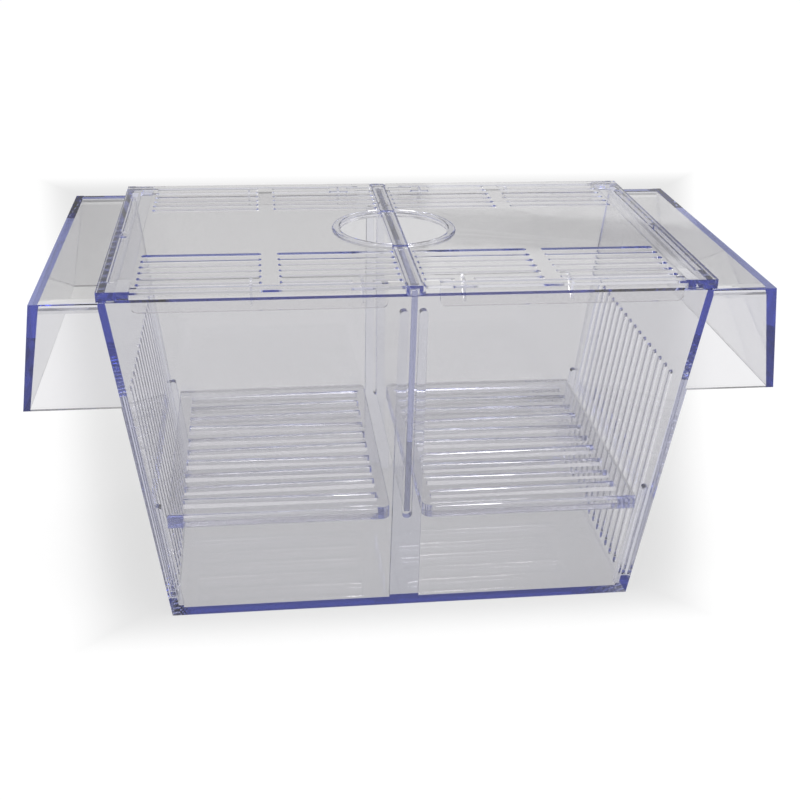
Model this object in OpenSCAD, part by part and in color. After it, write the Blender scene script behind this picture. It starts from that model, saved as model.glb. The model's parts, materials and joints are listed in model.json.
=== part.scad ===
// Fish breeding box: a clear hanging tank with two side floats, a lift-off lid,
// a divider plate that slides into two rails, and two slotted grids as a false floor.
// Millimetres. +Z is up, X runs along the length, -Y is the front.
// The origin is the centre of the underside of the tank floor.

/* [Tank] */
// Length over the rim, without the floats
rim_l = 190; // [184:1:196]
// Depth over the rim, front to back
rim_d = 116.6; // [115:0.2:118]
// Length over the floor
floor_l = 160.2; // [159:0.2:164]
// Depth over the floor
floor_d = 100.7; // [100:0.1:102]
// Height from the underside of the floor to the rim
tank_h = 117.6; // [116:0.2:120]
// Wall thickness
wall_t = 2.4; // [1.8:0.1:2.5]
// Floor thickness
floor_t = 2.5; // [1.5:0.1:3]

/* [End slots] */
// Number of upright slots in each end wall
end_slot_n = 16; // [4:2:16]
// Distance between end slots
end_slot_pitch = 5.78; // [4:0.02:5.8]
// Width of an end slot
end_slot_w = 2.2; // [1:0.1:3]
// Depth of the slot tops under the rim
end_slot_top = 33.4; // [20:0.2:50]
// Height of the slot feet above the underside of the floor
end_slot_low = 5; // [4:0.2:12]

/* [Floats] */
// Reach of a float at the rim
float_w = 19.5; // [12:0.5:30]
// Height of a float
float_h = 35.5; // [20:0.5:60]
// How much further the float reaches at its lower edge
float_flare = 5.5; // [0:0.5:10]
// Thickness of the float top
float_top_t = 1; // [0.8:0.1:2]
// Thickness of the float side at the rim
float_side_t = 2.7; // [1.8:0.1:3]
// Thickness of the float side at its lower edge
float_side_low_t = 1.75; // [1.2:0.05:2.5]
// Size of the fillet under the front and back edges of the float top
float_fillet = 2.5; // [0.5:0.1:4]

/* [Divider rails] */
// Distance that a rail stands off its wall
rail_t = 3; // [2:0.1:4]
// Half width of a rail at its top
rail_half_top = 4.4; // [3.8:0.1:4.6]
// Half width of a rail at the floor
rail_half_low = 5.1; // [4.6:0.1:5.2]
// Width of the groove in a rail
groove_w = 3.4; // [2.6:0.1:4]
// Depth of the rail tops under the rim
rail_drop = 5.1; // [4.8:0.1:10]
// Depth of the groove's foot under the rim
groove_drop = 80; // [40:1:100]

/* [Corner ribs] */
// Width of a corner rib
rib_w = 2.2; // [1.2:0.1:2.2]
// Distance that a corner rib stands off the front or back wall
rib_t = 3; // [1.5:0.1:5]
// Depth of the rib tops under the rim
rib_drop = 74.5; // [60:0.5:90]

/* [Divider] */
// Thickness of the divider plate
divider_t = 2; // [1:0.1:2]
// Gap between the divider's edges and the tank walls
divider_gap = 0.4; // [0.3:0.05:1]

/* [Grids] */
// Depth of the grid tops under the rim
grid_drop = 77.9; // [76:0.1:79]
// Height of a grid
grid_h = 4.6; // [3.5:0.1:4.8]
// Half depth of a grid, front to back
grid_half_d = 49.6; // [48.5:0.1:49.8]
// Distance of a grid's inner edge from the middle of the tank
grid_in = 5.5; // [5.4:0.1:7]
// Distance of a grid's outer edge from the middle of the tank
grid_out = 79.6; // [78:0.1:79.6]
// Width of the outer side bar
side_bar_w = 4.9; // [3:0.1:7]
// Width of the inner side bar
inner_bar_w = 3.8; // [3.2:0.1:6]
// Number of slots in a grid
grid_slot_n = 10; // [4:1:10]
// Distance between grid slots
grid_slot_pitch = 9.05; // [8:0.05:9.1]
// Width of a grid slot
grid_slot_w = 3; // [2:0.1:4]
// Radius along the top edges of a grid bar
grid_bar_r = 1.5; // [0.5:0.1:2]
// Radius of a grid's two inner corners
grid_corner_r = 3; // [1:0.1:3.5]

/* [Lid] */
// Gap between the rim and the lid
lid_gap = 0.3; // [0.3:0.1:1]
// Height of the end bars and the spine
lid_h = 3.1; // [2.6:0.1:4]
// Thickness of the lid panels
panel_t = 1; // [0.8:0.1:1.5]
// Width of an end bar
end_bar_w = 5.4; // [5:0.1:6.5]
// Width of an end bar with its corner foot
foot_w = 9.5; // [8:0.1:9.6]
// Width of the spine
spine_w = 5.2; // [4.8:0.1:5.4]
// Width of the spine's two end blocks
spine_end_w = 6.2; // [5.6:0.1:8]
// Radius along the edges of the spine's end blocks
spine_r = 1.2; // [0.5:0.1:1.2]
// Width of the groove under the spine
spine_groove_w = 2.8; // [2.7:0.1:3.2]
// Depth of the groove under the spine
spine_groove_d = 1.5; // [1.3:0.1:1.6]
// Width of the two channels in each end bar
channel_w = 2.3; // [1.5:0.1:2.4]
// Length of a channel
channel_l = 48; // [20:1:50]
// Depth of a channel
channel_d = 1.5; // [0.5:0.1:2]
// Distance of a channel's middle from the end of the lid
channel_in = 3.5; // [3:0.05:3.6]

/* [Lid hole] */
// Bore radius of the collar
hole_r = 18.6; // [15:0.1:19]
// Wall of the collar
collar_w = 2.8; // [1.5:0.1:3]
// Distance that the collar stands above the panels
collar_up = 0.4; // [0.2:0.1:1]
// Distance that the collar hangs below the panels
collar_down = 1; // [0.3:0.1:1.5]
// Distance of the hole's middle behind the middle of the lid
hole_y = 1; // [-1:0.1:1.5]

/* [Lid slots] */
// Slots in each group
lid_slot_n = 6; // [2:1:6]
// Distance between lid slots
lid_slot_pitch = 5.4; // [4:0.1:5.4]
// Width of a lid slot
lid_slot_w = 2.2; // [1:0.1:3]
// Distance of the first slot from the middle of the lid
lid_slot_y = 25.5; // [24.5:0.1:26]
// Inner end of the inner slot group
slot_x1 = 3.1; // [3.1:0.1:6]
// Outer end of the inner slot group
slot_x2 = 41; // [30:0.5:42]
// Inner end of the outer slot group
slot_x3 = 46; // [45:0.5:55]
// Outer end of the outer slot group
slot_x4 = 84; // [60:0.5:84]
// Inner end of the bridge across the outermost slot
slot_pad_x1 = 12.7; // [11:0.1:13]
// Outer end of that bridge
slot_pad_x2 = 18.6; // [18.4:0.1:21]

/* [Lid lips] */
// Distance of a lip's outer face from the middle of the lid
lip_y = 55.2; // [54:0.1:55.2]
// Thickness of a lip
lip_t = 1.2; // [0.8:0.1:2]
// Distance that a lip reaches below the rim
lip_drop = 4.2; // [2:0.1:4.4]
// Inner end of a lip
lip_x1 = 8; // [6:0.5:12]
// Outer end of a lip
lip_x2 = 85.3; // [70:0.1:85.4]
// Radius of a lip's lower corners
lip_r = 2; // [0.5:0.1:2.5]
// Distances of the two gussets of a lip from the middle of the lid
gusset_x = [15.7, 49.5];
// Thickness of a gusset
gusset_t = 1.2; // [0.8:0.1:2]
// Length of a gusset along the panel
gusset_l = 6; // [3:0.5:8]

/* [Hidden] */
clear = [0.74, 0.78, 0.88, 0.35];
big = 300;
arc_fn = 48;

// Outer half length and half depth of the tank at a height
function half_l(z) = floor_l / 2 + (rim_l - floor_l) / 2 * z / tank_h;
function half_d(z) = floor_d / 2 + (rim_d - floor_d) / 2 * z / tank_h;
// The same inside the walls
function in_l(z) = half_l(z) - wall_t;
function in_d(z) = half_d(z) - wall_t;

float_z = tank_h - float_h;
lid_z = tank_h + lid_gap;
panel_z = lid_z + lid_h - panel_t;
groove_z = tank_h - groove_drop;
rail_z = tank_h - rail_drop;
rib_z = tank_h - rib_drop;
grid_z = tank_h - grid_drop - grid_h;
divider_z = groove_z + lid_gap;
divider_top = lid_z + spine_groove_d - 0.6;
divider_tongue_y = in_d(tank_h) - 1;
finger_w = rail_half_top - groove_w / 2;
grid_bar_w = grid_slot_pitch - grid_slot_w;

// Draws a Y-Z outline along X, centred
module along_x(length)
    rotate([90, 0, 90])
        linear_extrude(height = length, center = true)
            children();

// Draws an X-Z outline along Y, centred
module along_y(length)
    rotate([90, 0, 0])
        linear_extrude(height = length, center = true)
            children();

// Everything between the inner faces of the front and back walls
module between_walls()
    along_x(big)
        polygon([[-in_d(0), 0], [in_d(0), 0], [in_d(tank_h), tank_h], [-in_d(tank_h), tank_h]]);

// A leaning slab against the front wall line, from outset to inset behind its outer face
module front_slab(outset, inset)
    along_x(big)
        polygon([[outset - half_d(0), 0], [inset - half_d(0), 0],
                 [inset - half_d(tank_h), tank_h], [outset - half_d(tank_h), tank_h]]);

// Outline of the tank seen from the front
module tank_outline()
    polygon([[-half_l(0), 0], [half_l(0), 0], [half_l(tank_h), tank_h], [-half_l(tank_h), tank_h]]);

module front_wall_shape()
    color(clear)
        intersection() {
            front_slab(0, wall_t);
            along_y(big) tank_outline();
        }

// One upright slot of an end wall, with round ends
module end_slot_outline() {
    low = end_slot_low + end_slot_w / 2;
    top = tank_h - end_slot_top - end_slot_w / 2;
    translate([-end_slot_w / 2, low]) square([end_slot_w, top - low]);
    translate([0, low]) circle(d = end_slot_w, $fn = arc_fn);
    translate([0, top]) circle(d = end_slot_w, $fn = arc_fn);
}

module end_wall_shape()
    color(clear)
        difference() {
            intersection() {
                between_walls();
                along_y(big)
                    polygon([[in_l(0), 0], [half_l(0), 0], [half_l(tank_h), tank_h], [in_l(tank_h), tank_h]]);
            }
            for (i = [0 : end_slot_n - 1])
                translate([rim_l / 2, (i - (end_slot_n - 1) / 2) * end_slot_pitch, 0])
                    along_x(rim_l / 2)
                        end_slot_outline();
        }

module floor_plate()
    color(clear)
        intersection() {
            between_walls();
            along_y(big)
                polygon([[-in_l(0), 0], [in_l(0), 0], [in_l(floor_t), floor_t], [-in_l(floor_t), floor_t]]);
        }

// The hollow of the right float seen from the front, between the tank and the float side
module float_bay_outline()
    polygon([[half_l(float_z), float_z],
             [half_l(tank_h), tank_h],
             [rim_l / 2 + float_w - float_side_t, tank_h],
             [rim_l / 2 + float_w + float_flare - float_side_low_t, float_z]]);

module float_top_shape()
    color(clear)
        intersection() {
            between_walls();
            along_y(big) float_bay_outline();
            along_x(big)
                difference() {
                    translate([-rim_d / 2, tank_h - float_top_t - float_fillet])
                        square([rim_d, float_top_t + float_fillet]);
                    polygon([[-in_d(tank_h), 0],
                             [-in_d(tank_h), tank_h - float_top_t - float_fillet],
                             [-in_d(tank_h) + float_fillet, tank_h - float_top_t],
                             [in_d(tank_h) - float_fillet, tank_h - float_top_t],
                             [in_d(tank_h), tank_h - float_top_t - float_fillet],
                             [in_d(tank_h), 0]]);
                }
        }

module float_side_shape()
    color(clear)
        intersection() {
            between_walls();
            along_y(big)
                polygon([[rim_l / 2 + float_w - float_side_t, tank_h],
                         [rim_l / 2 + float_w, tank_h],
                         [rim_l / 2 + float_w + float_flare, float_z],
                         [rim_l / 2 + float_w + float_flare - float_side_low_t, float_z]]);
        }

module float_front_shape()
    color(clear)
        intersection() {
            front_slab(0, wall_t);
            along_y(big)
                polygon([[half_l(float_z), float_z],
                         [half_l(tank_h), tank_h],
                         [rim_l / 2 + float_w, tank_h],
                         [rim_l / 2 + float_w + float_flare, float_z]]);
        }

// Outline of a divider rail seen from the front: two round-topped fingers on one foot
module rail_outline()
    difference() {
        union() {
            polygon([[-rail_half_low, floor_t], [rail_half_low, floor_t],
                     [rail_half_top, rail_z - finger_w / 2], [-rail_half_top, rail_z - finger_w / 2]]);
            for (side = [-1, 1])
                translate([side * (rail_half_top - finger_w / 2), rail_z - finger_w / 2])
                    circle(d = finger_w, $fn = arc_fn);
        }
        translate([-groove_w / 2, groove_z])
            square([groove_w, groove_drop]);
        translate([0, groove_z])
            circle(d = groove_w, $fn = arc_fn);
    }

module rail_shape()
    color(clear)
        intersection() {
            front_slab(wall_t, wall_t + rail_t);
            along_y(big) rail_outline();
        }

// A round-topped rib in the front right corner, beside the end wall
module corner_rib_shape()
    color(clear)
        intersection() {
            front_slab(wall_t, wall_t + rib_t);
            along_y(big) {
                polygon([[in_l(floor_t) - rib_w, floor_t], [in_l(floor_t), floor_t],
                         [in_l(rib_z), rib_z], [in_l(rib_z) - rib_w, rib_z]]);
                translate([in_l(rib_z) - rib_w / 2, rib_z])
                    circle(d = rib_w - 0.02, $fn = arc_fn);
            }
        }

module divider_plate()
    color(clear)
        along_x(divider_t)
            polygon([[divider_gap - in_d(divider_z), divider_z],
                     [in_d(divider_z) - divider_gap, divider_z],
                     [in_d(tank_h) - divider_gap, tank_h - 0.5],
                     [divider_tongue_y, tank_h - 0.5],
                     [divider_tongue_y, divider_top],
                     [-divider_tongue_y, divider_top],
                     [-divider_tongue_y, tank_h - 0.5],
                     [divider_gap - in_d(tank_h), tank_h - 0.5]]);

// Section of a grid bar with round top edges, from y1 to y2
module grid_bar_section(y1, y2) {
    translate([y1, 0]) square([y2 - y1, grid_h - grid_bar_r]);
    translate([y1 + grid_bar_r, 0]) square([y2 - y1 - 2 * grid_bar_r, grid_h]);
    translate([y1 + grid_bar_r, grid_h - grid_bar_r]) circle(r = grid_bar_r, $fn = arc_fn);
    translate([y2 - grid_bar_r, grid_h - grid_bar_r]) circle(r = grid_bar_r, $fn = arc_fn);
}

// Plan of the right grid, with its two inner corners rounded
module grid_plan() {
    translate([grid_in + grid_corner_r, -grid_half_d])
        square([grid_out - grid_in - grid_corner_r, 2 * grid_half_d]);
    translate([grid_in, -grid_half_d + grid_corner_r])
        square([grid_out - grid_in, 2 * (grid_half_d - grid_corner_r)]);
    for (side = [-1, 1])
        translate([grid_in + grid_corner_r, side * (grid_half_d - grid_corner_r)])
            circle(r = grid_corner_r, $fn = arc_fn);
}

module grid_shape()
    color(clear)
        translate([0, 0, grid_z])
            intersection() {
                linear_extrude(height = grid_h) grid_plan();
                union() {
                    translate([grid_out - side_bar_w, -grid_half_d, 0])
                        cube([side_bar_w, 2 * grid_half_d, grid_h]);
                    translate([grid_in, -grid_half_d, 0])
                        cube([inner_bar_w, 2 * grid_half_d, grid_h - 0.6]);
                    along_x(2 * grid_out)
                        for (i = [0 : grid_slot_n]) {
                            middle = (i - grid_slot_n / 2) * grid_slot_pitch;
                            y1 = i == 0 ? -grid_half_d : middle - grid_bar_w / 2;
                            y2 = i == grid_slot_n ? grid_half_d : middle + grid_bar_w / 2;
                            grid_bar_section(y1, y2);
                        }
                }
            }

// One slot with round ends, along X
module lid_slot(x1, x2) {
    r = lid_slot_w / 2;
    translate([x1 + r, -r]) square([x2 - x1 - lid_slot_w, lid_slot_w]);
    for (x = [x1 + r, x2 - r])
        translate([x, 0]) circle(r = r, $fn = 24);
}

// The slot groups in front of or behind the hole, in one panel.
// The outermost slot is bridged over the gusset beside the spine.
module lid_slots(side)
    for (i = [0 : lid_slot_n - 1])
        translate([0, side * (lid_slot_y + i * lid_slot_pitch)]) {
            if (i < 5) lid_slot(slot_x1, slot_x2);
            else {
                lid_slot(slot_x1, slot_pad_x1);
                lid_slot(slot_pad_x2, slot_x2);
            }
            lid_slot(slot_x3, slot_x4);
        }

module lid_panel_shape()
    color(clear)
        translate([0, 0, panel_z])
            linear_extrude(height = panel_t)
                difference() {
                    translate([spine_w / 2, -rim_d / 2])
                        square([rim_l / 2 - end_bar_w - spine_w / 2, rim_d]);
                    for (side = [-1, 1])
                        translate([0, side * (lip_y + big / 2)])
                            square([spine_end_w, big], center = true);
                    translate([0, hole_y]) circle(r = hole_r + collar_w, $fn = 180);
                    lid_slots(-1);
                    lid_slots(1);
                }

// Section of the spine's end blocks, with round edges
module spine_end_section() {
    translate([-spine_end_w / 2, spine_r])
        square([spine_end_w, lid_h - 2 * spine_r]);
    translate([-spine_end_w / 2 + spine_r, 0])
        square([spine_end_w - 2 * spine_r, lid_h]);
    for (x = [spine_r - spine_end_w / 2, spine_end_w / 2 - spine_r])
        for (z = [spine_r, lid_h - spine_r])
            translate([x, z]) circle(r = spine_r, $fn = arc_fn);
}

// A bar with a groove underneath, and a block on each end that rests on the rim
module lid_spine()
    color(clear)
        translate([0, 0, lid_z]) {
            difference() {
                translate([-spine_w / 2, -lip_y, 0]) cube([spine_w, 2 * lip_y, lid_h]);
                translate([-spine_groove_w / 2, -in_d(tank_h) - 1, -1])
                    cube([spine_groove_w, 2 * in_d(tank_h) + 2, spine_groove_d + 1]);
            }
            for (side = [-1, 1])
                translate([0, side * (rim_d / 2 + lip_y) / 2, 0])
                    along_y(rim_d / 2 - lip_y) spine_end_section();
        }

module end_bar_shape()
    color(clear)
        translate([rim_l / 2 - end_bar_w, -rim_d / 2, lid_z])
            difference() {
                cube([end_bar_w, rim_d, lid_h]);
                for (y = [rim_d / 2 - 1 - channel_l, rim_d / 2 + 1])
                    translate([end_bar_w - channel_in - channel_w / 2, y, lid_h - channel_d])
                        cube([channel_w, channel_l, channel_d + 1]);
            }

// The foot beside the front right end bar that rests on the front rim
module foot_shape()
    color(clear)
        translate([rim_l / 2 - foot_w, -rim_d / 2, lid_z])
            cube([foot_w - end_bar_w, rim_d / 2 - lip_y, panel_z - lid_z]);

module lid_hole_ring()
    color(clear)
        difference() {
            translate([0, hole_y, panel_z - collar_down])
                rotate_extrude($fn = 180)
                    translate([hole_r, 0]) {
                        square([collar_w, collar_down + panel_t]);
                        translate([collar_up, 0])
                            square([collar_w - 2 * collar_up, collar_down + panel_t + collar_up]);
                        for (x = [collar_up, collar_w - collar_up])
                            translate([x, collar_down + panel_t])
                                circle(r = collar_up, $fn = 24);
                    }
            cube([spine_w, big, big], center = true);
        }

// Outline of a lip seen from the front
module lip_outline() {
    lip_h = lip_drop + panel_z - tank_h;
    translate([lip_x1, lip_r]) square([lip_x2 - lip_x1, lip_h - lip_r]);
    translate([lip_x1 + lip_r, 0]) square([lip_x2 - lip_x1 - 2 * lip_r, lip_h]);
    for (x = [lip_x1 + lip_r, lip_x2 - lip_r])
        translate([x, lip_r]) circle(r = lip_r, $fn = arc_fn);
}

// The front right lip and its two gussets
module lip_shape()
    color(clear) {
        translate([0, -lip_y + lip_t / 2, tank_h - lip_drop])
            along_y(lip_t) lip_outline();
        for (x = gusset_x)
            translate([x, 0, 0])
                along_x(gusset_t)
                    polygon([[-lip_y + lip_t, panel_z],
                             [-lip_y + lip_t + gusset_l, panel_z],
                             [-lip_y + lip_t, tank_h - lip_drop + 1]]);
    }

front_wall_shape();  // front_wall
mirror([0, 1, 0]) front_wall_shape();  // back_wall
mirror([1, 0, 0]) end_wall_shape();  // left_end_wall
end_wall_shape();  // right_end_wall
floor_plate();
mirror([1, 0, 0]) float_top_shape();  // left_float_top
mirror([1, 0, 0]) float_side_shape();  // left_float_side
mirror([1, 0, 0]) float_front_shape();  // left_float_front
rotate([0, 0, 180]) float_front_shape();  // left_float_back
float_top_shape();  // right_float_top
float_side_shape();  // right_float_side
float_front_shape();  // right_float_front
mirror([0, 1, 0]) float_front_shape();  // right_float_back
rail_shape();  // front_divider_rail
mirror([0, 1, 0]) rail_shape();  // back_divider_rail
mirror([1, 0, 0]) corner_rib_shape();  // front_left_corner_rib
corner_rib_shape();  // front_right_corner_rib
rotate([0, 0, 180]) corner_rib_shape();  // back_left_corner_rib
mirror([0, 1, 0]) corner_rib_shape();  // back_right_corner_rib
mirror([1, 0, 0]) lid_panel_shape();  // lid_left_panel
lid_panel_shape();  // lid_right_panel
lid_spine();
mirror([1, 0, 0]) end_bar_shape();  // lid_left_end_bar
end_bar_shape();  // lid_right_end_bar
lid_hole_ring();
mirror([1, 0, 0]) foot_shape();  // lid_front_left_foot
foot_shape();  // lid_front_right_foot
rotate([0, 0, 180]) foot_shape();  // lid_back_left_foot
mirror([0, 1, 0]) foot_shape();  // lid_back_right_foot
mirror([1, 0, 0]) lip_shape();  // lid_front_left_lip
lip_shape();  // lid_front_right_lip
rotate([0, 0, 180]) lip_shape();  // lid_back_left_lip
mirror([0, 1, 0]) lip_shape();  // lid_back_right_lip
divider_plate();
mirror([1, 0, 0]) grid_shape();  // left_grid
grid_shape();  // right_grid
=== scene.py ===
# %% [markdown]
# # A fish breeding box in clear plastic
#
# The real box is five mouldings in clear polystyrene: a tank with two floats,
# a lid, a divider plate and two floor grids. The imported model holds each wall,
# bar and lip as its own solid. Two clear solids that only touch would show a
# dark skin where they meet, so here each moulding becomes one closed mesh that
# stands for its solids.

# %% Load the frame
import json
import math

import bmesh
import bpy
from mathutils import Matrix, Vector


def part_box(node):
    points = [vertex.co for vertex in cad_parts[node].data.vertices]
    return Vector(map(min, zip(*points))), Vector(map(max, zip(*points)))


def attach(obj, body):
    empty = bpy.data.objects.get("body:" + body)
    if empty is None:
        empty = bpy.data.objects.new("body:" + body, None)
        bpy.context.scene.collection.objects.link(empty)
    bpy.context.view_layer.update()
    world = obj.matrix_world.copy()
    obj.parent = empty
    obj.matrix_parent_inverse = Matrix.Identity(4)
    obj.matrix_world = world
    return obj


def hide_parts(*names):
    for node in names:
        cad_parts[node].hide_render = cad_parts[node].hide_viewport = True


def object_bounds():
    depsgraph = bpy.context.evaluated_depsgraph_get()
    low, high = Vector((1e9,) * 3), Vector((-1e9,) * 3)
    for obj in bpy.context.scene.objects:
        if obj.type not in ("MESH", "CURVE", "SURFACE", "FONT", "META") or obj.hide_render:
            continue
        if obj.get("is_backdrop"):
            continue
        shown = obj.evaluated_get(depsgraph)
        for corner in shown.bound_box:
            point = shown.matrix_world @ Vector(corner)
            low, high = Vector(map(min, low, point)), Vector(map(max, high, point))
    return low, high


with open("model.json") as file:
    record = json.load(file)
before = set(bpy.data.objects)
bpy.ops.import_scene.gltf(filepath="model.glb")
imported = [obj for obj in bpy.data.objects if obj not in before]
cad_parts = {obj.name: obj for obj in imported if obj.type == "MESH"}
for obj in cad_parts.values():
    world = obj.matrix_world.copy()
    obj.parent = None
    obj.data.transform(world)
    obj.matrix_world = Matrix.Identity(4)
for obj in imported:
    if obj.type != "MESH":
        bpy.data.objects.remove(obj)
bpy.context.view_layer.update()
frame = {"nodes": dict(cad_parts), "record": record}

MM = 0.001

# %% [markdown]
# ## Hand tools
#
# Every piece starts as a primitive at its real size and is then shaped in edit
# mode. An operator acts on all that is selected, so these helpers select one
# object, or only the faces, edges or corners that a test picks by their place.

# %% Selecting
NEAR = 1 * MM  # a part within this distance of a place counts as being there
FACING = 0.9  # a face whose normal reaches this far along an axis counts as facing it


def only(piece):
    """Selects one object and makes it active, in object mode."""
    if bpy.context.mode != "OBJECT":
        bpy.ops.object.mode_set(mode="OBJECT")
    bpy.ops.object.select_all(action="DESELECT")
    piece.hide_set(False)
    piece.select_set(True)
    bpy.context.view_layer.objects.active = piece


def pick(piece, kind, test):
    """Opens a piece in edit mode with only the parts that pass the test selected."""
    only(piece)
    bpy.ops.object.mode_set(mode="EDIT")
    bpy.ops.mesh.select_mode(type=kind)
    bpy.ops.mesh.select_all(action="DESELECT")
    mesh = bmesh.from_edit_mesh(piece.data)
    parts = {"VERT": mesh.verts, "EDGE": mesh.edges, "FACE": mesh.faces}[kind]
    picked = [part for part in parts if test(part)]
    for part in picked:
        part.select_set(True)
    mesh.select_flush_mode()
    bmesh.update_edit_mesh(piece.data)
    return len(picked)


def done():
    """Goes back to object mode."""
    bpy.ops.object.mode_set(mode="OBJECT")


def middle(part):
    """The middle of a face or an edge."""
    points = [v.co for v in part.verts]
    return sum(points, Vector()) / len(points)


# %% Adding and shaping
def add_box(name, low, high):
    """A cube primitive stretched between two corners."""
    low, high = Vector(low), Vector(high)
    bpy.ops.mesh.primitive_cube_add(size=1, location=(low + high) / 2)
    box = bpy.context.object
    box.name = name
    box.scale = high - low
    bpy.ops.object.transform_apply(location=True, rotation=True, scale=True)
    return box


def move(piece, kind, test, shift):
    """Moves the picked parts of a piece."""
    pick(piece, kind, test)
    bpy.ops.transform.translate(value=shift)
    done()


def pull(shift):
    """Extrudes the selected faces by a shift."""
    bpy.ops.mesh.extrude_region_move(TRANSFORM_OT_translate={"value": shift})


# %% [markdown]
# ## Sizes
#
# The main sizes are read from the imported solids, so each moulding lands exactly
# where its collision is. Sizes that no solid's box gives, such as the width of a
# slot, are the ones that the solids were made with. Only the small roundings, the
# thinner gussets, the thicker strips of the lid and the tapers behind its feet
# are this script's own.

# %% Sizes of the tank
wall = 2.4 * MM
rim_low, rim_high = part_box("front_wall")
rim_x, rim_y, tank_h = rim_high.x, -rim_low.y, rim_high.z
float_low, float_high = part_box("right_float_side")
float_z = float_low.z
floor_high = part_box("floor_plate")[1]
floor_t = floor_high.z
floor_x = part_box("right_end_wall")[0].x + wall
floor_y = floor_high.y + wall - (rim_y - floor_high.y - wall) * floor_t / (tank_h - floor_t)
print("floor", floor_x / MM, floor_y / MM, "rim", rim_x / MM, rim_y / MM)


def half_x(z):
    """Half the outer length of the tank at a height."""
    return floor_x + (rim_x - floor_x) * z / tank_h


def half_y(z):
    """Half the outer depth of the tank at a height."""
    return floor_y + (rim_y - floor_y) * z / tank_h


# %% [markdown]
# ## The tank
#
# The tank is a box that widens towards its rim, with a float on each end. All
# of its walls lean, so that the steel core of the mould can be pulled out. It
# could be made as a row of separate slabs, but then every corner would need a
# join. Starting from one cube and pushing its faces about keeps it one skin:
# the top is widened, the body is split at the lower edge of the floats, and the
# upper part of each end is pulled out into a float.

# %% Tank body
tank = add_box("tank_moulding", (-floor_x, -floor_y, 0), (floor_x, floor_y, tank_h))
pick(tank, "FACE", lambda f: f.normal.z > FACING)
bpy.ops.transform.resize(value=(rim_x / floor_x, rim_y / floor_y, 1), center_override=(0, 0, tank_h))
bpy.ops.mesh.select_all(action="SELECT")
bpy.ops.mesh.bisect(plane_co=(0, 0, float_z), plane_no=(0, 0, 1))
done()

float_out = 19.5 * MM  # how far the top of a float reaches past the rim
flare = float_high.x - half_x(float_z) - float_out  # how much more its lower edge stands out
beyond_wall = half_x(float_z) + 15 * MM
for side in (-1, 1):
    pick(tank, "FACE", lambda f: f.normal.x * side > FACING and middle(f).z > float_z)
    pull((side * float_out, 0, 0))
    done()
    move(
        tank,
        "VERT",
        lambda v: v.co.x * side > beyond_wall and v.co.z < float_z + NEAR,
        (flare * side, 0, 0),
    )
print("tank body", len(tank.data.polygons), "faces")


# %% Checking a mesh
def clean(piece):
    """Merges doubles, turns all faces outwards and reports open edges."""
    only(piece)
    bpy.ops.object.mode_set(mode="EDIT")
    bpy.ops.mesh.select_all(action="SELECT")
    bpy.ops.mesh.remove_doubles(threshold=0.004 * MM)
    bpy.ops.mesh.dissolve_degenerate(threshold=0.002 * MM)
    bpy.ops.mesh.normals_make_consistent(inside=False)
    done()
    mesh = bmesh.new()
    mesh.from_mesh(piece.data)
    open_edges = sum(1 for edge in mesh.edges if not edge.is_manifold)
    volume = round(mesh.calc_volume() / MM**3)
    print(piece.name, len(mesh.faces), "faces,", open_edges, "open edges,", volume, "mm3")
    mesh.free()


# %% Tank cavity
pick(tank, "FACE", lambda f: f.normal.z > FACING and abs(middle(f).x) < NEAR)
bpy.ops.mesh.inset(thickness=wall, depth=0)
pull((0, 0, floor_t - tank_h))
shrink_x = (half_x(floor_t) - wall) / (rim_x - wall)
shrink_y = (half_y(floor_t) - wall) / (rim_y - wall)
bpy.ops.transform.resize(value=(shrink_x, shrink_y, 1), center_override=(0, 0, floor_t))
done()
clean(tank)

# %% [markdown]
# Each float is a box with no bottom: it traps air and so carries the tank. The
# hollow could be pushed up from the face underneath, but the fillets along its
# front and back would be hard to place. So it is cut out with a tool shaped like
# the air inside it, and the fillets are the two rounded upper edges of the tool.

# %% Rounding and cutting
PAST = 1 * MM  # a cutter reaches this far past what it cuts


def bevel(piece, test, width, steps):
    """Rounds the picked edges of a piece."""
    count = pick(piece, "EDGE", test)
    bpy.ops.mesh.bevel(offset=width, segments=steps, affect="EDGES")
    done()
    return count


def put_in_order(piece):
    """Sorts corners, edges and faces by their place.

    A cut leaves them in another order each run, and merging and rounding go by
    that order, so without this the mesh would differ a little from run to run.
    """
    mesh = bmesh.new()
    mesh.from_mesh(piece.data)
    for parts, place in ((mesh.verts, lambda v: v.co), (mesh.edges, middle), (mesh.faces, middle)):
        in_order = sorted(parts, key=lambda part: tuple(place(part)))
        rank = {part: i for i, part in enumerate(in_order)}
        parts.sort(key=lambda part: rank[part])
        parts.index_update()
    mesh.to_mesh(piece.data)
    mesh.free()


def combine(piece, tool, way):
    """Joins the tool to the piece, or cuts it out, and removes the tool."""
    only(piece)
    step = piece.modifiers.new(way.lower(), "BOOLEAN")
    step.operation = way
    step.solver = "EXACT"
    step.object = tool
    bpy.ops.object.modifier_apply(modifier=step.name)
    bpy.data.objects.remove(tool)
    put_in_order(piece)


# %% Float hollows
fillet = 2.5 * MM
side_t, side_low_t, top_t = 2.7 * MM, 1.75 * MM, 1.0 * MM  # the side wall thins towards its foot
air_z1, air_z2 = float_z - PAST, tank_h - top_t
air_x1, air_x2 = half_x(air_z1), float_high.x - side_low_t
air_y = half_y(air_z1) - wall
lean_in = half_x(air_z2) - air_x1
lean_out = rim_x + float_out - side_t - air_x2
wider = half_y(air_z2) - half_y(air_z1)


def air_edge(edge):
    """True for the two upper edges of the air that run along the float."""
    spot = middle(edge)
    return abs(spot.y) > air_y - NEAR and spot.z > air_z2 - NEAR and abs(spot.x) > rim_x


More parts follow.
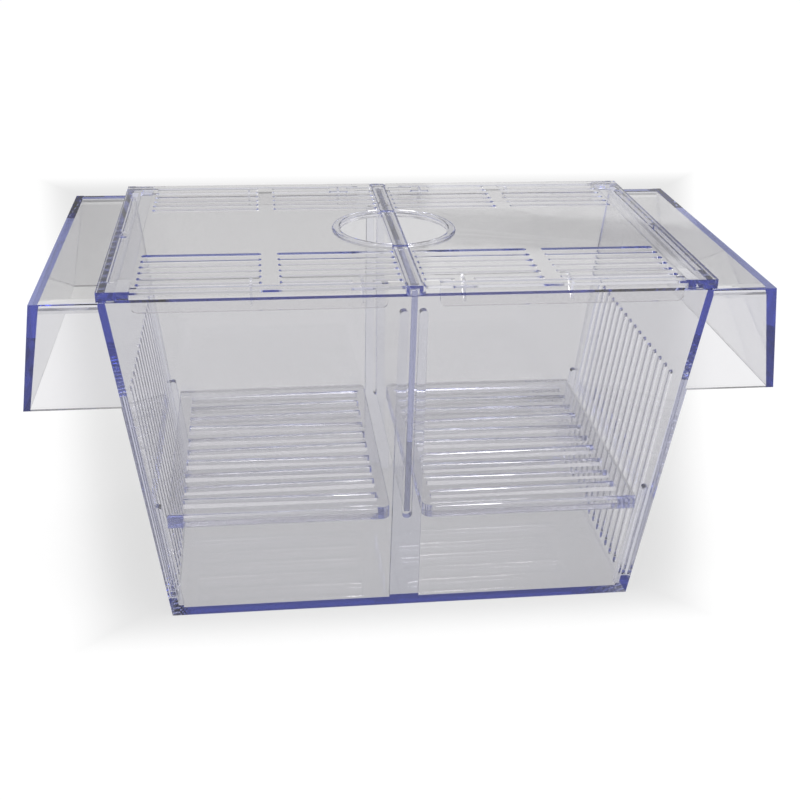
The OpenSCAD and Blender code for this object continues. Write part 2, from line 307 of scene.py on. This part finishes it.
for side in (-1, 1):
    x1, x2 = sorted((side * (air_x1 + 0.02 * MM), side * air_x2))
    air = add_box("air", (x1, -air_y, air_z1), (x2, air_y, air_z2))
    move(air, "VERT", lambda v: v.co.z > float_z and v.co.x * side < air_x1 + NEAR, (side * lean_in, 0, 0))
    move(air, "VERT", lambda v: v.co.z > float_z and v.co.x * side > air_x2 - NEAR, (side * lean_out, 0, 0))
    for way in (-1, 1):
        move(air, "VERT", lambda v: v.co.z > float_z and v.co.y * way > 0, (0, way * wider, 0))
    bevel(air, air_edge, fillet, 4)
    combine(tank, air, "DIFFERENCE")
clean(tank)

# %% [markdown]
# Sixteen upright slots in each end wall let water through and keep the fry in.
# They could be inset into the wall one by one, but a cutter leaves no other edges
# in it. One with round ends is modelled and copied along both walls with its own
# mesh each time, and all of them are cut out at once.


# %% Copying and joining
def copies(model, places):
    """A copy of a model at each place, with its own mesh, in place of the model itself.

    A place is a location and a scale, so that a copy can be mirrored.
    """
    row = []
    for location, scale in places:
        one = model.copy()
        one.data = model.data.copy()
        bpy.context.scene.collection.objects.link(one)
        one.location = location
        one.scale = scale
        row.append(one)
    bpy.data.objects.remove(model)
    return row


def join_as_one(pieces):
    """Puts several separate pieces into one object that sits at the origin."""
    only(pieces[0])
    for piece in pieces:
        piece.select_set(True)
    bpy.ops.object.join()
    bpy.ops.object.transform_apply(location=True, rotation=True, scale=True)
    return bpy.context.object


# %% End slots
ROUND = 0.499  # a bevel of this share of a slot's width makes its end round
slot_w, slot_pitch, slot_count = 2.2 * MM, 5.78 * MM, 16
slot_low, slot_high = 5.0 * MM, tank_h - 33.4 * MM
cut_x1, cut_x2 = 70 * MM, 100 * MM  # the cutter passes right through the wall
cut_mid = (cut_x1 + cut_x2) / 2
cutter = add_box("slot", (cut_x1, -slot_w / 2, slot_low), (cut_x2, slot_w / 2, slot_high))
bevel(cutter, lambda e: abs(middle(e).x - cut_mid) < NEAR and e.calc_length() > 20 * MM, slot_w * ROUND, 8)
places = [
    ((0 if side > 0 else -2 * cut_mid, (i - (slot_count - 1) / 2) * slot_pitch, 0), (1, 1, 1))
    for side in (-1, 1)
    for i in range(slot_count)
]
combine(tank, join_as_one(copies(cutter, places)), "DIFFERENCE")
clean(tank)

# %% [markdown]
# Two grooved rails hold the divider, and a rib in each corner keeps the grids
# from sliding. They are moulded with the walls. They could be drawn anew, but
# their solids have the right shape already, so copies of those are pushed a
# little way into the wall and merged with it.


# %% Copying a solid and softening edges
def node_copy(node, shift):
    """A merged copy of a CAD node's mesh, moved a little into what it grows from."""
    copy = bpy.data.objects.new(node + "_copy", frame["nodes"][node].data.copy())
    bpy.context.scene.collection.objects.link(copy)
    only(copy)
    bpy.ops.object.mode_set(mode="EDIT")
    bpy.ops.mesh.select_all(action="SELECT")
    bpy.ops.mesh.remove_doubles(threshold=0.002 * MM)
    bpy.ops.transform.translate(value=shift)
    bpy.ops.mesh.select_all(action="DESELECT")
    done()
    copy.data.materials.clear()
    return copy


def soften(piece, width):
    """Breaks the sharp edges of a moulding, which is what makes them glint."""
    only(piece)
    edge = piece.modifiers.new("soft_edges", "BEVEL")
    edge.width = width
    edge.segments = 2
    edge.limit_method = "ANGLE"
    edge.angle_limit = math.radians(50)
    edge.use_clamp_overlap = True
    bpy.ops.object.modifier_apply(modifier=edge.name)


# %% Rails and ribs
bite = 0.3 * MM
for end, way in (("front", -1), ("back", 1)):
    for part, side in (("divider_rail", 0), ("left_corner_rib", -1), ("right_corner_rib", 1)):
        combine(tank, node_copy(f"{end}_{part}", (side * bite, way * bite, -bite)), "UNION")
clean(tank)
soften(tank, 0.3 * MM)
clean(tank)

# %% [markdown]
# ## The lid
#
# The lid is a thin panel with a thick bar on each end, a foot in each corner, a
# spine across the middle and four lips that drop inside the tank. They could be
# boxes merged with the panel, but faces that lie in one plane make a merge fail
# easily. So the bars, feet and lips grow out of one flat plate: it is split along
# their edges, and the small faces underneath are pulled down. Beside each bar the
# plate is a little thicker.

# %% Sizes of the lid
bar_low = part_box("lid_right_end_bar")[0]
foot_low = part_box("lid_front_right_foot")[0]
panel_low, panel_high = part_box("lid_right_panel")
lip_low, lip_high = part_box("lid_front_right_lip")
lip_t, lip_round = 1.2 * MM, 2 * MM
lip_y1, lip_y2 = lip_low.y, lip_low.y + lip_t
strip_drop = 0.7 * MM  # how much thicker the plate is beside an end bar
strip_z = panel_low.z - strip_drop
print("panel", round((panel_high.z - panel_low.z) / MM, 2), "mm thick")


def span(edge, axis):
    """How far an edge reaches along the x, y or z axis."""
    start, end = (getattr(v.co, axis) for v in edge.verts)
    return abs(start - end)


def in_end_strip(face):
    """True for all faces under the thicker strip along each end."""
    return face.normal.z < -FACING and abs(middle(face).x) > foot_low.x


def rests_on_rim(face):
    """True for the faces under the plate that the end bars and feet grow from."""
    spot = middle(face)
    bar = abs(spot.x) > bar_low.x
    foot = abs(spot.x) > foot_low.x and abs(spot.y) > -lip_y1
    return face.normal.z < -FACING and (bar or foot)


def over_a_lip(face):
    """True for the faces under the plate that a lip grows from."""
    spot = middle(face)
    inside_x = lip_low.x < abs(spot.x) < lip_high.x
    inside_y = -lip_y2 < abs(spot.y) < -lip_y1
    return face.normal.z < -FACING and inside_x and inside_y


def lip_corner(edge):
    """True for the short edges at the lower corners of a lip."""
    return middle(edge).z < lip_low.z + 0.1 * MM and span(edge, "x") < 0.1 * MM


# %% Lid plate, end bars, feet and lips
lid = add_box("lid_moulding", (-rim_x, -rim_y, panel_low.z), (rim_x, rim_y, panel_high.z))
across = (bar_low.x, foot_low.x, lip_high.x, lip_low.x)
cuts = [((way * x, 0, 0), (1, 0, 0)) for way in (-1, 1) for x in across]
cuts += [((0, way * y, 0), (0, 1, 0)) for way in (-1, 1) for y in (lip_y1, lip_y2)]
for point, normal in cuts:
    pick(lid, "FACE", lambda f: True)
    bpy.ops.mesh.bisect(plane_co=point, plane_no=normal)
    done()
pulls = (
    (in_end_strip, strip_drop),
    (rests_on_rim, strip_z - bar_low.z),
    (over_a_lip, panel_low.z - lip_low.z),
)
for test, drop in pulls:
    print("pulled down", pick(lid, "FACE", test), "faces by", round(drop / MM, 1))
    pull((0, 0, -drop))
    done()
bevel(lid, lip_corner, lip_round, 6)
clean(lid)

# %% [markdown]
# A foot ends in a taper towards the middle of the lid, so that it slides over
# the rim as the lid is put on. Pulled out of the foot, its side would lie flat
# on the end bar, so a wedge that reaches a little into both is merged instead.
# It is shaped from a box by lifting its far lower edge, and is mirrored into the
# four corners.

# %% Tapered backs of the feet
taper, sunk = 9 * MM, 0.2 * MM  # sunk is how far the wedge reaches into its neighbours
wedge_low = (foot_low.x, lip_y1 - sunk, bar_low.z)
wedge_high = (bar_low.x + sunk, lip_y1 + taper, strip_z + 0.1 * MM)
wedge = add_box("wedge", wedge_low, wedge_high)
move(
    wedge,
    "VERT",
    lambda v: v.co.y > lip_y1 + NEAR and v.co.z < bar_low.z + 0.1 * MM,
    (0, 0, strip_z - bar_low.z),
)
corners = [((0, 0, 0), (side, way, 1)) for side in (-1, 1) for way in (-1, 1)]
wedges = join_as_one(copies(wedge, corners))
clean(wedges)
combine(lid, wedges, "UNION")
clean(lid)

# %% [markdown]
# A fish or its food goes in through the round hole. A torus would make its
# collar round all over, but the real one has upright sides, so a small section
# is drawn beside the axis and spun all the way round. The spine runs across the
# hole, so it is added after the hole has been cut. A rounded block on each end
# of it rests on the rim.

# %% Hole
ring_low, ring_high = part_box("lid_hole_ring")
hole_y = (ring_low.y + ring_high.y) / 2
collar_r = (ring_high.x - ring_low.x) / 2
hole_r = 18.6 * MM
ring_r = (hole_r + collar_r) / 2  # the hole is cut to the middle of the collar's wall
collar_round = 0.7 * MM
ring_turns = 128
place = (0, hole_y, panel_low.z)
bpy.ops.mesh.primitive_cylinder_add(vertices=ring_turns, radius=ring_r, depth=4 * MM, location=place)
drill = bpy.context.object
bpy.ops.object.transform_apply(location=True, rotation=True, scale=True)
combine(lid, drill, "DIFFERENCE")
print("hole", round(2 * hole_r / MM, 1), "mm across")

# %% Collar
place = (ring_r, hole_y, (ring_low.z + ring_high.z) / 2)
bpy.ops.mesh.primitive_plane_add(size=1, location=place, rotation=(math.radians(90), 0, 0))
collar = bpy.context.object
collar.name = "collar"
collar.scale = (collar_r - hole_r, ring_high.z - ring_low.z, 1)
bpy.ops.object.transform_apply(location=True, rotation=True, scale=True)
pick(collar, "VERT", lambda v: True)
bpy.ops.mesh.bevel(offset=collar_round, segments=4, affect="VERTICES")
bpy.ops.mesh.select_all(action="SELECT")
bpy.ops.mesh.delete(type="ONLY_FACE")
bpy.ops.mesh.select_all(action="SELECT")
bpy.ops.mesh.spin(steps=ring_turns, angle=2 * math.pi, center=(0, hole_y, 0), axis=(0, 0, 1))
done()
clean(collar)
combine(lid, collar, "UNION")

# %% Spine
spine_x = 2.6 * MM
block_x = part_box("lid_spine")[1].x
groove_x, groove_d = 1.4 * MM, 1.5 * MM
spine_round, block_round = 0.5 * MM, 1.2 * MM


def lower_spine_edge(edge):
    """True for the two long lower edges of the spine."""
    return span(edge, "y") > rim_y and middle(edge).z < bar_low.z + NEAR


spine = add_box("spine", (-spine_x, lip_y1, bar_low.z), (spine_x, -lip_y1, panel_high.z))
bevel(spine, lower_spine_edge, spine_round, 4)
combine(lid, spine, "UNION")
for way in (-1, 1):
    y1, y2 = sorted((way * (rim_y + PAST), -way * lip_y1))
    notch_x = block_x - 0.1 * MM
    notch = add_box("notch", (-notch_x, y1, panel_low.z - PAST), (notch_x, y2, panel_high.z + PAST))
    combine(lid, notch, "DIFFERENCE")
    y1, y2 = sorted((way * rim_y, -way * (lip_y1 + 0.3 * MM)))
    block = add_box("block", (-block_x, y1, bar_low.z), (block_x, y2, panel_high.z))
    bevel(block, lambda e: span(e, "y") > NEAR, block_round, 6)
    combine(lid, block, "UNION")
groove_y = -lip_y1 - 0.1 * MM
groove_low = (-groove_x, -groove_y, bar_low.z - PAST)
groove = add_box("groove", groove_low, (groove_x, groove_y, bar_low.z + groove_d))
combine(lid, groove, "DIFFERENCE")
clean(lid)

# %% [markdown]
# Four blocks of six slots on each side of the spine air the box. An Array
# modifier could repeat one slot, but their lengths differ, so one cutter with
# round ends is modelled for each length and copied to its places. Beside the
# spine the outermost slot is bridged, where a gusset stands under it. The round
# ends look back along the whole panel, so each is a small deep blue mark.

# %% Lid slots and channels
slot_y, slot_step, slot_t = 25.5 * MM, 5.4 * MM, 2.2 * MM
# where the slots of a block start and end, in mm from the middle of the lid, and their rows
blocks = ((3.1, 41, range(5)), (3.1, 12.7, (5,)), (18.6, 41, (5,)), (46, 84, range(6)))
row = []
for start, end, lines in blocks:
    start, end = start * MM, end * MM
    slot_from = (start, -slot_t / 2, panel_low.z - PAST)
    long_slot = add_box("slot", slot_from, (end, slot_t / 2, panel_high.z + PAST))
    bevel(long_slot, lambda e: span(e, "z") > NEAR, slot_t * ROUND, 6)
    places = [
        ((0 if side > 0 else -start - end, way * (slot_y + i * slot_step), 0), (1, 1, 1))
        for side in (-1, 1)
        for way in (-1, 1)
        for i in lines
    ]
    row += copies(long_slot, places)
channel_w, channel_l, channel_d = 2.3 * MM, 48 * MM, 1.5 * MM
channel_start = 1 * MM  # from the middle of the bar
for side in (-1, 1):
    for y in (-channel_l - channel_start, channel_start):
        x = side * (rim_x - 3.5 * MM)
        channel_low = (x - channel_w / 2, y, panel_high.z - channel_d)
        channel_high = (x + channel_w / 2, y + channel_l, panel_high.z + PAST)
        row.append(add_box("channel", channel_low, channel_high))
print("cut", len(row), "slots and channels")
combine(lid, join_as_one(row), "DIFFERENCE")
clean(lid)

# %% [markdown]
# A lip would snap off without its gussets: small triangles that tie it to the
# panel. A prism would end in a knife edge, which no mould can fill, so one is
# shaped from a box by lifting its far lower edge nearly to the top. It is then
# copied to all eight places.

# %% Gussets
gusset_x, gusset_t, gusset_l = (15.7 * MM, 49.5 * MM), 0.8 * MM, 6 * MM
gusset_foot = 1 * MM  # from the lower edge of a lip to the foot of a gusset
gusset_h = panel_low.z - lip_low.z - gusset_foot
gusset_tip = 0.3 * MM  # what is left of its height at its far end
hold = 0.4 * MM  # how far a gusset reaches into the lip and the panel
gusset_low = (-gusset_t / 2, lip_y2 - hold, lip_low.z + gusset_foot)
gusset = add_box("gusset", gusset_low, (gusset_t / 2, lip_y2 + gusset_l, panel_low.z + hold))
move(
    gusset,
    "VERT",
    lambda v: v.co.y > lip_y2 + NEAR and v.co.z < panel_low.z,
    (0, 0, gusset_h - gusset_tip),
)
places = [
    ((x, 0, 0), (1, way, 1))
    for x in (-gusset_x[1], -gusset_x[0], *gusset_x)
    for way in (1, -1)
]
gussets = join_as_one(copies(gusset, places))
clean(gussets)
combine(lid, gussets, "UNION")
clean(lid)
soften(lid, 0.22 * MM)
clean(lid)

# %% [markdown]
# ## The divider plate
#
# The divider is a flat plate of the same plastic. It widens with the walls, and
# a narrower tongue on its top edge goes up into the spine. It could be cut out of
# a wide plate, but growing it keeps its outline to the few corners that it has:
# the top of a box is spread out to meet the rails, and the top face is then
# narrowed and pulled up as the tongue.

# %% Divider plate
div_low, div_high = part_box("divider_plate")
tongue_z = tank_h - 0.5 * MM
tongue_y = half_y(tank_h) - wall - 1 * MM
foot_y = half_y(div_low.z) - wall - 0.4 * MM
divider = add_box("divider_sheet", (div_low.x, -foot_y, div_low.z), (div_high.x, foot_y, tongue_z))
for way in (-1, 1):
    spread = (0, way * (div_high.y - foot_y), 0)
    move(divider, "VERT", lambda v: v.co.z > tongue_z - NEAR and v.co.y * way > 0, spread)
pick(divider, "FACE", lambda f: f.normal.z > FACING)
pull((0, 0, 0))
bpy.ops.transform.resize(value=(1, tongue_y / div_high.y, 1), center_override=(0, 0, tongue_z))
pull((0, 0, div_high.z - tongue_z))
done()
put_in_order(divider)
clean(divider)
soften(divider, 0.25 * MM)
clean(divider)

# %% [markdown]
# ## The floor grids
#
# Newborn fish drop through the grids, out of reach of the parent. A grid is one
# moulding: a frame with eleven bars that are rounded on top, so that the fry
# slide off. Round bars would each have to be merged with the frame, so the slots
# are cut from a block instead, and then only the long upper edges are rounded.

# %% Right grid
grid_low, grid_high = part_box("right_grid")
side_bar, inner_bar, corner_r, bar_round = 4.9 * MM, 3.8 * MM, 3 * MM, 1.4 * MM
grid_slot_w, grid_step, grid_slots = 3 * MM, 9.05 * MM, 10


def inner_corner(edge):
    """True for the upright edges on the side of the divider."""
    return middle(edge).x < grid_low.x + 0.1 * MM and span(edge, "z") > NEAR


def long_top_edge(edge):
    """True for the upper edges that run along the bars."""
    level = min(v.co.z for v in edge.verts) > grid_high.z - 0.05 * MM
    return level and span(edge, "x") > 20 * MM


grid = add_box("right_floor_grid", grid_low, grid_high)
bevel(grid, inner_corner, corner_r, 6)
row = []
for i in range(grid_slots):
    y = (i - (grid_slots - 1) / 2) * grid_step
    low = (grid_low.x + inner_bar, y - grid_slot_w / 2, grid_low.z - PAST)
    high = (grid_high.x - side_bar, y + grid_slot_w / 2, grid_high.z + PAST)
    row.append(add_box("slot", low, high))
combine(grid, join_as_one(row), "DIFFERENCE")
print("rounded", bevel(grid, long_top_edge, bar_round, 5), "bar edges")
clean(grid)
soften(grid, 0.2 * MM)
clean(grid)

# %% [markdown]
# The left grid is the same moulding, turned half round. Its front is the same as
# its back, so a mirror copy has the same shape, and clean() turns its faces
# outwards again.

# %% Left grid
left_grid = grid.copy()
left_grid.data = grid.data.copy()
left_grid.name = "left_floor_grid"
bpy.context.scene.collection.objects.link(left_grid)
left_grid.scale.x = -1
only(left_grid)
bpy.ops.object.transform_apply(location=True, rotation=True, scale=True)
clean(left_grid)

# %% [markdown]
# ## Clear polystyrene
#
# The box is injection moulded in general purpose polystyrene with a trace of
# blue toner, which makers add to hide its yellow. Its IOR is 1.59. A wall is
# too thin to show the blue, but light that travels lengthwise through a wall
# passes 100 mm of it, so every edge looks deep blue. That is a property of the
# inside, so it is set as volume absorption and not as a painted edge.


# %% Colour and node helpers
def linear(hex_colour):
    """An sRGB hex colour as the linear RGBA that a shader socket takes."""
    channels = [int(hex_colour[i:i + 2], 16) / 255 for i in (0, 2, 4)]
    return [c / 12.92 if c <= 0.04045 else ((c + 0.055) / 1.055) ** 2.4 for c in channels] + [1]


def add_node(tree, kind, values=None, links=None, **settings):
    """Adds a node, sets its settings and values, and links other outputs into it."""
    node = tree.nodes.new(kind)
    for name, value in settings.items():
        setattr(node, name, value)
    for name, value in (values or {}).items():
        node.inputs[name].default_value = value
    for name, source in (links or {}).items():
        tree.links.new(source, node.inputs[name])
    return node


# %% Clear polystyrene
POLYSTYRENE_IOR = 1.59
WHITE, BLUE_TONER = "FFFFFF", "5272DE"


def clear_polystyrene(name, wave_mm, depth, tint):
    """Clear moulding that bends what is behind it a little and shows blue at its edges.

    The slow waves are the flow of the melt. The haze of fine scratches from
    handling softens the glints in patches. The depth sets how soon the blue
    shows, and the tint is what each surface takes away.
    """
    material = bpy.data.materials.new(name)
    material.use_nodes = True
    tree = material.node_tree
    tree.nodes.clear()
    place = add_node(tree, "ShaderNodeTexCoord").outputs["Object"]
    wave_values = {"Scale": 1 / (wave_mm * MM), "Detail": 1.0, "Roughness": 0.4}
    waves = add_node(tree, "ShaderNodeTexNoise", wave_values, {"Vector": place})
    bump_values = {"Strength": 0.05, "Distance": 0.15 * MM}
    bump = add_node(tree, "ShaderNodeBump", bump_values, {"Height": waves.outputs["Fac"]})
    haze_values = {"Scale": 1 / (14 * MM), "Detail": 3.0}
    haze = add_node(tree, "ShaderNodeTexNoise", haze_values, {"Vector": place})
    rough_values = {"From Min": 0.35, "From Max": 0.7, "To Min": 0.0, "To Max": 0.04}
    rough = add_node(tree, "ShaderNodeMapRange", rough_values, {"Value": haze.outputs["Fac"]})
    shell = add_node(
        tree,
        "ShaderNodeBsdfPrincipled",
        {"Base Color": linear(tint), "IOR": POLYSTYRENE_IOR, "Transmission Weight": 1.0},
        {"Roughness": rough.outputs["Result"], "Normal": bump.outputs["Normal"]},
    )
    absorbed = {"Color": linear(BLUE_TONER), "Density": depth}
    inside = add_node(tree, "ShaderNodeVolumeAbsorption", absorbed)
    ends = {"Surface": shell.outputs["BSDF"], "Volume": inside.outputs["Volume"]}
    add_node(tree, "ShaderNodeOutputMaterial", None, ends)
    return material


tank_plastic = clear_polystyrene("clear_polystyrene_tank", wave_mm=16, depth=26.0, tint="F1F0EE")
lid_plastic = clear_polystyrene("clear_polystyrene_lid", wave_mm=11, depth=26.0, tint="F9F8F6")
sheet_plastic = clear_polystyrene("clear_polystyrene_divider", wave_mm=13, depth=6.0, tint="F9F8F6")
grid_plastic = clear_polystyrene("clear_polystyrene_grids", wave_mm=9, depth=13.0, tint="FBFAF8")
print("materials", [m.name for m in bpy.data.materials])

# %% [markdown]
# Each moulding now rides on its body and stands for the solids it is made of,
# so the lid, the divider and the grids lift out when their joints move.

# %% Fit the pieces to the bodies
bodies = frame["record"]["behaviour"]["bodies"]
fits = (
    (tank, "tank", tank_plastic),
    (lid, "lid", lid_plastic),
    (divider, "divider", sheet_plastic),
    (left_grid, "left_floor_grid", grid_plastic),
    (grid, "right_floor_grid", grid_plastic),
)
for piece, body, plastic in fits:
    piece.data.materials.clear()
    piece.data.materials.append(plastic)
    only(piece)
    bpy.ops.object.shade_flat()
    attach(piece, body)
    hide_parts(*bodies[body])
    print(piece.name, "rides on", body, "with", len(piece.data.polygons), "faces")

# %% [markdown]
# ## Studio
#
# Clear plastic has no colour of its own: it shows what it mirrors and what is
# behind it. So the light is made in angles and distances, with a few helpers
# that turn a direction or a place into a smooth mask.


# %% Angle and distance masks
def step(tree, source, start, end, before, after):
    """A smooth change from one value to another while the source goes from start to end."""
    values = {"From Min": start, "From Max": end, "To Min": before, "To Max": after}
    links = {"Value": source}
    node = add_node(tree, "ShaderNodeMapRange", values, links, interpolation_type="SMOOTHSTEP")
    return node.outputs["Result"]


def work_out(tree, way, first, second=0.0):
    """One sum, product or other operation on two values."""
    node = add_node(tree, "ShaderNodeMath", operation=way)
    for socket, value in zip(node.inputs, (first, second)):
        if isinstance(value, (int, float)):
            socket.default_value = value
        else:
            tree.links.new(value, socket)
    return node.outputs[0]


def band(tree, angle, low, high, soft):
    """1 between two angles in degrees and 0 outside them, with soft borders."""
    low, high, soft = math.radians(low), math.radians(high), math.radians(soft / 2)
    above = step(tree, angle, low - soft, low + soft, 0, 1)
    below = step(tree, angle, high - soft, high + soft, 1, 0)
    return work_out(tree, "MULTIPLY", above, below)


# %% [markdown]
# The floor is an opal light table. It glows white around the box, and a painted
# shadow turns its glow down under and behind the box, so that the clear walls
# read as pale grey against white. The painted shadow widens away from the camera
# with soft borders.

# %% Floor
shadow_glow, bright = 0.66, 0.9
shadow_front, front_soft = -40 * MM, 40 * MM
shadow_back, back_soft = 470 * MM, 90 * MM
shadow_half_x, side_soft = 80 * MM, 50 * MM  # half the width of the painted shadow, at its start
start_y = 45 * MM  # how far in front of the box's middle the painted shadow starts to widen
drift, spread = 0.086, 0.256  # sideways shift and half the widening, per length

bpy.ops.mesh.primitive_plane_add(size=6, location=(0, 0, -0.2 * MM))
floor = bpy.context.object
floor.name = "studio_floor"
opal_table = bpy.data.materials.new("light_table_painted_shadow")
opal_table.use_nodes = True
table = opal_table.node_tree
opal = table.nodes["Principled BSDF"]
opal.inputs["Base Color"].default_value = linear("5A5A5A")
opal.inputs["Roughness"].default_value = 0.9
opal.inputs["Emission Color"].default_value = linear(WHITE)
place = add_node(table, "ShaderNodeTexCoord").outputs["Object"]
spot = add_node(table, "ShaderNodeSeparateXYZ", None, {"Vector": place})
behind = work_out(table, "ADD", spot.outputs["Y"], start_y)
off_axis = work_out(table, "SUBTRACT", spot.outputs["X"], work_out(table, "MULTIPLY", behind, drift))
off_axis = work_out(table, "ABSOLUTE", off_axis)
beside = work_out(table, "SUBTRACT", off_axis, work_out(table, "MULTIPLY", behind, spread))
# 1 outside the painted shadow and 0 inside it
clear = work_out(
    table,
    "MAXIMUM",
    step(table, beside, shadow_half_x, shadow_half_x + side_soft, 0, 1),
    step(table, spot.outputs["Y"], shadow_back, shadow_back + back_soft, 0, 1),
)
in_front = step(table, spot.outputs["Y"], shadow_front, shadow_front - front_soft, 0, 1)
clear = work_out(table, "MAXIMUM", clear, in_front)
# painted shadow: the floor glows less under and behind the box than around it
table.links.new(step(table, clear, 0, 1, shadow_glow, bright), opal.inputs["Emission Strength"])
floor.data.materials.append(opal_table)
floor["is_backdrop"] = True
print("floor glows", shadow_glow, "to", bright)

# %% [markdown]
# The sky is brighter overhead, which lights the tops of the bars. Low down it
# is shaded on both sides of the box, which the flat lid mirrors as grey. Two
# narrow bright bands, like the gaps of a blind, reach the camera only through
# the walls of the right slots and whiten them. Seen directly, the sky is white
# like the floor, so no horizon shows behind the box.

# %% Sky
low_sky, high_sky = 0.55, 0.9
shade_depth, blind_glow = -0.2, 0.4
climb, shade_top = (30, 65), (25, 40)  # where the sky brightens and the shade ends, in degrees
right_shade, left_shade = (9, 34, 8), (-26, -6, 5)  # from, to and soft border, in degrees
upper_gap, lower_gap, gap_reach = (17.9, 21, 0.5), (14.4, 16.3, 0.5), (8.5, 21.5, 1)

world = bpy.data.worlds.new("soft_sky")
bpy.context.scene.world = world
world.use_nodes = True
sky = world.node_tree
sky.nodes.clear()
direction = add_node(sky, "ShaderNodeTexCoord").outputs["Generated"]
axes = add_node(sky, "ShaderNodeSeparateXYZ", None, {"Vector": direction})
rising = work_out(sky, "ARCSINE", axes.outputs["Z"])
around = work_out(sky, "ARCTAN2", axes.outputs["X"], axes.outputs["Y"])
plain = step(sky, rising, *map(math.radians, climb), low_sky, high_sky)
shade = work_out(sky, "ADD", band(sky, around, *right_shade), band(sky, around, *left_shade))
low_down = step(sky, rising, *map(math.radians, shade_top), shade_depth, 0)
shade = work_out(sky, "MULTIPLY", shade, low_down)
blinds = work_out(sky, "ADD", band(sky, rising, *upper_gap), band(sky, rising, *lower_gap))
blinds = work_out(sky, "MULTIPLY", blinds, band(sky, around, *gap_reach))
blinds = work_out(sky, "MULTIPLY", blinds, blind_glow)
studio = work_out(sky, "ADD", plain, work_out(sky, "ADD", shade, blinds))
seen = add_node(sky, "ShaderNodeLightPath").outputs["Is Camera Ray"]
backdrop = work_out(sky, "MULTIPLY", work_out(sky, "SUBTRACT", 1.0, studio), seen)
strength = work_out(sky, "ADD", studio, backdrop)
light = add_node(sky, "ShaderNodeBackground", {"Color": linear(WHITE)}, {"Strength": strength})
add_node(sky, "ShaderNodeOutputWorld", None, {"Surface": light.outputs["Background"]})
print("sky glows", low_sky, "to", high_sky)

# %% [markdown]
# Three soft boxes draw the glints. The long strip in front lies along the bars
# of the grids, so each rounded edge carries a line of light.

# %% Lamps
box_middle = (0, 0, 0.06)


def soft_box(name, place, target, width, depth, power):
    """A rectangular area light that looks at a point."""
    bpy.ops.object.light_add(type="AREA", location=place)
    lamp = bpy.context.object
    lamp.name = name
    lamp.data.shape = "RECTANGLE"
    lamp.data.size = width
    lamp.data.size_y = depth
    lamp.data.energy = power
    lamp.rotation_mode = "QUATERNION"
    lamp.rotation_quaternion = (Vector(target) - Vector(place)).to_track_quat("-Z", "Y")
    print(name, "gives", power, "W")
    return lamp


soft_box("top_light", (0.15, 0.35, 0.9), box_middle, 0.2, 0.2, 1)
soft_box("right_light", (0.9, -0.1, 0.45), box_middle, 0.3, 0.3, 1)
soft_box("strip_light", (0, -0.35, 1.0), box_middle, 1.2, 0.4, 6)

# %% [markdown]
# ## Camera
#
# The camera stands in front and a little to the left, and looks down on the
# lid. Light that enters an edge bounces many times between the faces of a thin
# wall before it leaves, so the paths are allowed to be long.

# %% Camera
yaw, pitch, roll = math.radians(7.38), math.radians(25.36), math.radians(1.29)
stand = Vector((-47.82, -395.60, 126.61)) * MM  # from the middle of the rim
ahead = Vector((math.sin(yaw) * math.cos(pitch), math.cos(yaw) * math.cos(pitch), -math.sin(pitch)))
level = Vector((math.cos(yaw), -math.sin(yaw), 0))
upward = level.cross(ahead)
right = math.cos(roll) * level + math.sin(roll) * upward
top = math.cos(roll) * upward - math.sin(roll) * level
view = bpy.data.cameras.new("camera")
view.lens, view.sensor_width = 53.74, 36
camera = bpy.data.objects.new("camera", view)
scene = bpy.context.scene
scene.collection.objects.link(camera)
turn = Matrix((right, top, -ahead)).transposed().to_4x4()
camera.matrix_world = Matrix.Translation(stand + Vector((0, 0, tank_h))) @ turn
scene.camera = camera
scene.view_settings.view_transform = "Standard"
clear_bounces = 64
scene.cycles.max_bounces = clear_bounces
scene.cycles.transmission_bounces = clear_bounces
scene.cycles.glossy_bounces = clear_bounces
scene.cycles.diffuse_bounces = 3
print("camera at", [round(v, 3) for v in camera.location])

# %% [markdown]
# Dressing the part must not change its size, so the box around the finished
# pieces is printed.

# %% Size of the finished pieces
low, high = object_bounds()
print("visual", [round(v / MM, 2) for v in (*low, *high)])
